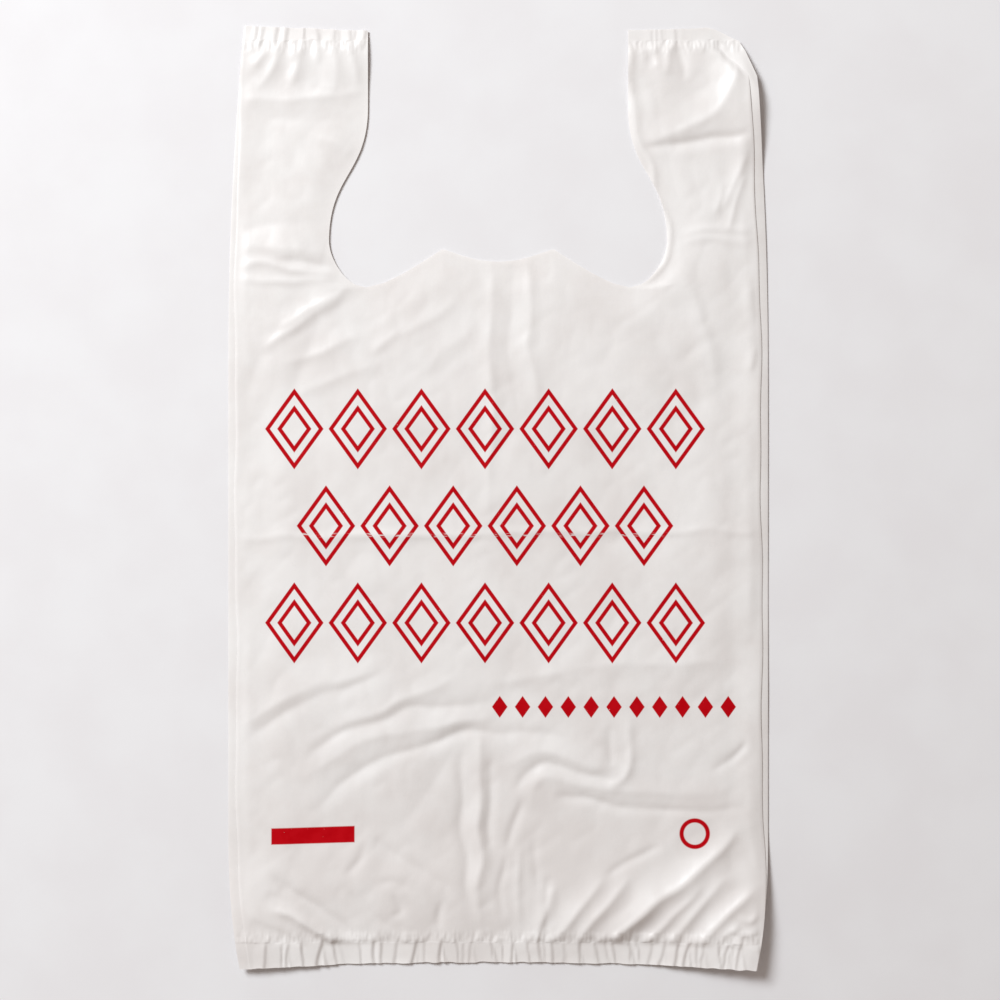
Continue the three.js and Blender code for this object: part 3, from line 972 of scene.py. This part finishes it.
def ring(n, x, y):
    across = n.math("POWER", n.math("SUBTRACT", x, RING_MIDDLE[0]), 2.0)
    along = n.math("POWER", n.math("SUBTRACT", y, RING_MIDDLE[1]), 2.0)
    away = n.math("SQRT", n.math("ADD", across, along))
    return inside(n, n.math("ABSOLUTE", n.math("SUBTRACT", away, RING_RADIUS)), RING_LINE_HALF)


def ink_mask(n, place, x, y):
    """All the print, broken up by small misses and by scuffs along the middle crease."""
    shapes = n.math("MAXIMUM", lozenge_rows(n, x, y), diamond_line(n, x, y))
    shapes = n.math("MAXIMUM", shapes, n.math("MAXIMUM", bar(n, x, y), ring(n, x, y)))
    misses = n.ramp(n.noise(place, scale=0.9, detail=3.0), low=0.2, high=0.26)
    from_crease = n.math("ABSOLUTE", n.math("SUBTRACT", y, SCUFF_Y))
    crease = n.ramp(from_crease, low=0.3, high=1.5)
    scratches = n.noise(n.stretch(place, (0.16, 1.2, 1.0)), scale=1.0, detail=3.0)
    worn = n.ramp(scratches, low=0.38, high=0.5, to_low=0.25, to_high=1.0)
    return n.math("MULTIPLY", shapes, n.math("MULTIPLY", misses, n.math("MAXIMUM", crease, worn)))


def from_seals(n, place, y):
    """Distance past the two welded lines, which waver a little, below 0 in the gathered bands."""
    waver = n.math("MULTIPLY_ADD", n.noise(place, scale=0.08), 2.0 * WELD_WAVER, -WELD_WAVER)
    past_hem = n.math("SUBTRACT", y, SEAL_Y)
    past_top = n.math("SUBTRACT", HANDLE_SEAL_Y, y)
    return n.math("ADD", n.math("MINIMUM", past_hem, past_top), waver)


def film_bump(n, place, y):
    """Relief too small for the mesh: welded lines, small puckers beside them, soft dents and streaks."""
    past = from_seals(n, place, y)
    patches = n.noise(n.stretch(place, (0.22, 0.1, 0.0)), scale=1.0)
    broken = n.ramp(patches, low=0.42, high=0.6)
    weld = n.math("MULTIPLY", n.ramp(n.math("ABSOLUTE", past), low=1.2, high=0.2), broken)
    normal = n.bump(weld, distance=0.0007, strength=-0.6)
    beside = n.math("MULTIPLY", n.ramp(past, low=-0.5, high=0.8), n.ramp(past, low=10.0, high=1.0))
    creases = n.noise(n.stretch(place, (0.26, 0.11, 0.0)), scale=1.0, detail=1.0)
    puckers = n.math("MULTIPLY", n.math("SUBTRACT", creases, 0.5), beside)
    normal = n.bump(puckers, distance=0.0024, strength=0.5, normal=normal)
    dents = n.noise(n.stretch(place, (0.07, 0.05, 0.0)), scale=1.0, detail=3.0)
    normal = n.bump(dents, distance=0.0006, strength=0.35, normal=normal)
    streaks = n.noise(n.stretch(place, (0.55, 0.012, 0.0)), scale=1.0, detail=3.0)
    return n.bump(streaks, distance=0.00004, strength=0.5, normal=normal)


def film_colour(n, place, x, y):
    """White with cloudy grey in it, whiter over the side folds, and greyer in a band above the hem as
    painted shade.
    """
    cloudy = n.ramp(n.noise(place, scale=0.022, detail=4.0, roughness=0.6), low=0.35, high=0.7)
    across = n.math("ABSOLUTE", x)
    layers = n.ramp(across, FOLD_X - FOLD_SOFT, FOLD_X + FOLD_SOFT, to_low=0.5, to_high=0.35)
    # Painted shade: the band above the hem is greyed where the film lies in shade
    from_shade_band = n.math("ABSOLUTE", n.math("SUBTRACT", y, SHADE_BAND_Y))
    painted_shade = n.ramp(from_shade_band, low=SHADE_BAND_REACH, high=0.0, to_low=0.0, to_high=PAINTED_SHADE_DEPTH)
    grey = n.math("MULTIPLY", n.math("ADD", n.math("ADD", cloudy, layers), painted_shade), GREY_SHARE)
    return n.mix(grey, linear(*FILM_WHITE), linear(*FILM_GREY))


def ink_surface(n, place, normal):
    patches = n.ramp(n.noise(place, scale=0.25, detail=3.0), low=0.3, high=0.7, to_low=0.0, to_high=0.3)
    ink = n.mix(patches, linear(*INK_RED), linear(*INK_LIGHT))
    return n.surface(ink, INK_ROUGHNESS, normal, INK_SHINE)


def film_material(name, printed):
    n = Nodes(name)
    place, x, y = n.position()
    colour = film_colour(n, place, x, y)
    smears = n.noise(place, scale=0.05, detail=3.0)
    rough = n.ramp(smears, low=0.3, high=0.7, to_low=0.27, to_high=0.37)
    normal = film_bump(n, place, y)
    shader = n.blend(THROUGH, n.surface(colour, rough, normal, FILM_SHINE), n.glow(colour))
    if printed:
        shader = n.blend(ink_mask(n, place, x, y), shader, ink_surface(n, place, normal))
    return n.finish(shader)


def table_material():
    n = Nodes("table")
    place, _, _ = n.position()
    grain = n.ramp(n.noise(place, scale=0.02, detail=5.0), low=0.3, high=0.7)
    colour = n.mix(grain, linear(*TABLE_DARK), linear(*TABLE_LIGHT))
    flat = n.bump(n.noise(place, scale=0.4, detail=3.0), distance=0.00005, strength=0.3)
    return n.finish(n.surface(colour, TABLE_ROUGHNESS, flat, TABLE_SHINE))


# Table, light and camera


def table_top():
    mesh = bpy.data.meshes.new("table_top")
    signs = [(-1, -1), (1, -1), (1, 1), (-1, 1)]
    corners = [(x * TABLE_HALF, y * TABLE_HALF, 0.0) for x, y in signs]
    mesh.from_pydata(corners, [], [(0, 1, 2, 3)])
    mesh.materials.append(table_material())
    table = bpy.data.objects.new("table_top", mesh)
    bpy.context.scene.collection.objects.link(table)
    return table


def aim(thing, target):
    direction = Vector(target) - thing.location
    thing.rotation_euler = direction.to_track_quat("-Z", "Y").to_euler()


def area_light(name, place, size, power, colour):
    data = bpy.data.lights.new(name, "AREA")
    data.size = size
    data.energy = power
    data.color = colour
    lamp = bpy.data.objects.new(name, data)
    lamp.location = place
    bpy.context.scene.collection.objects.link(lamp)
    aim(lamp, (0.0, 0.0, 0.0))


def sky(strength, colour):
    world = bpy.data.worlds.new("sky")
    world.use_nodes = True
    background = world.node_tree.nodes["Background"]
    background.inputs["Color"].default_value = colour
    background.inputs["Strength"].default_value = strength
    bpy.context.scene.world = world


def camera(place, lens):
    data = bpy.data.cameras.new("camera")
    data.lens = lens
    data.sensor_width = SENSOR
    data.clip_start = NEAREST_SEEN
    view = bpy.data.objects.new("camera", data)
    view.location = place
    bpy.context.scene.collection.objects.link(view)
    bpy.context.scene.camera = view


def dress_bag():
    materials = [film_material("printed_film", True), film_material("plain_film", False)]
    bag = film_object(bag_film(), materials)
    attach(bag, "root")
    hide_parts("carrier_bag")


def set_stage():
    table_top()
    area_light("window", WINDOW_PLACE, WINDOW_SIZE, WINDOW_POWER, WINDOW_COLOUR)
    sky(SKY_STRENGTH, SKY_COLOUR)
    camera((*VIEW_MIDDLE, VIEW_WIDTH * LENS / SENSOR), LENS)
    bpy.context.scene.view_settings.view_transform = "Standard"


dress_bag()
set_stage()
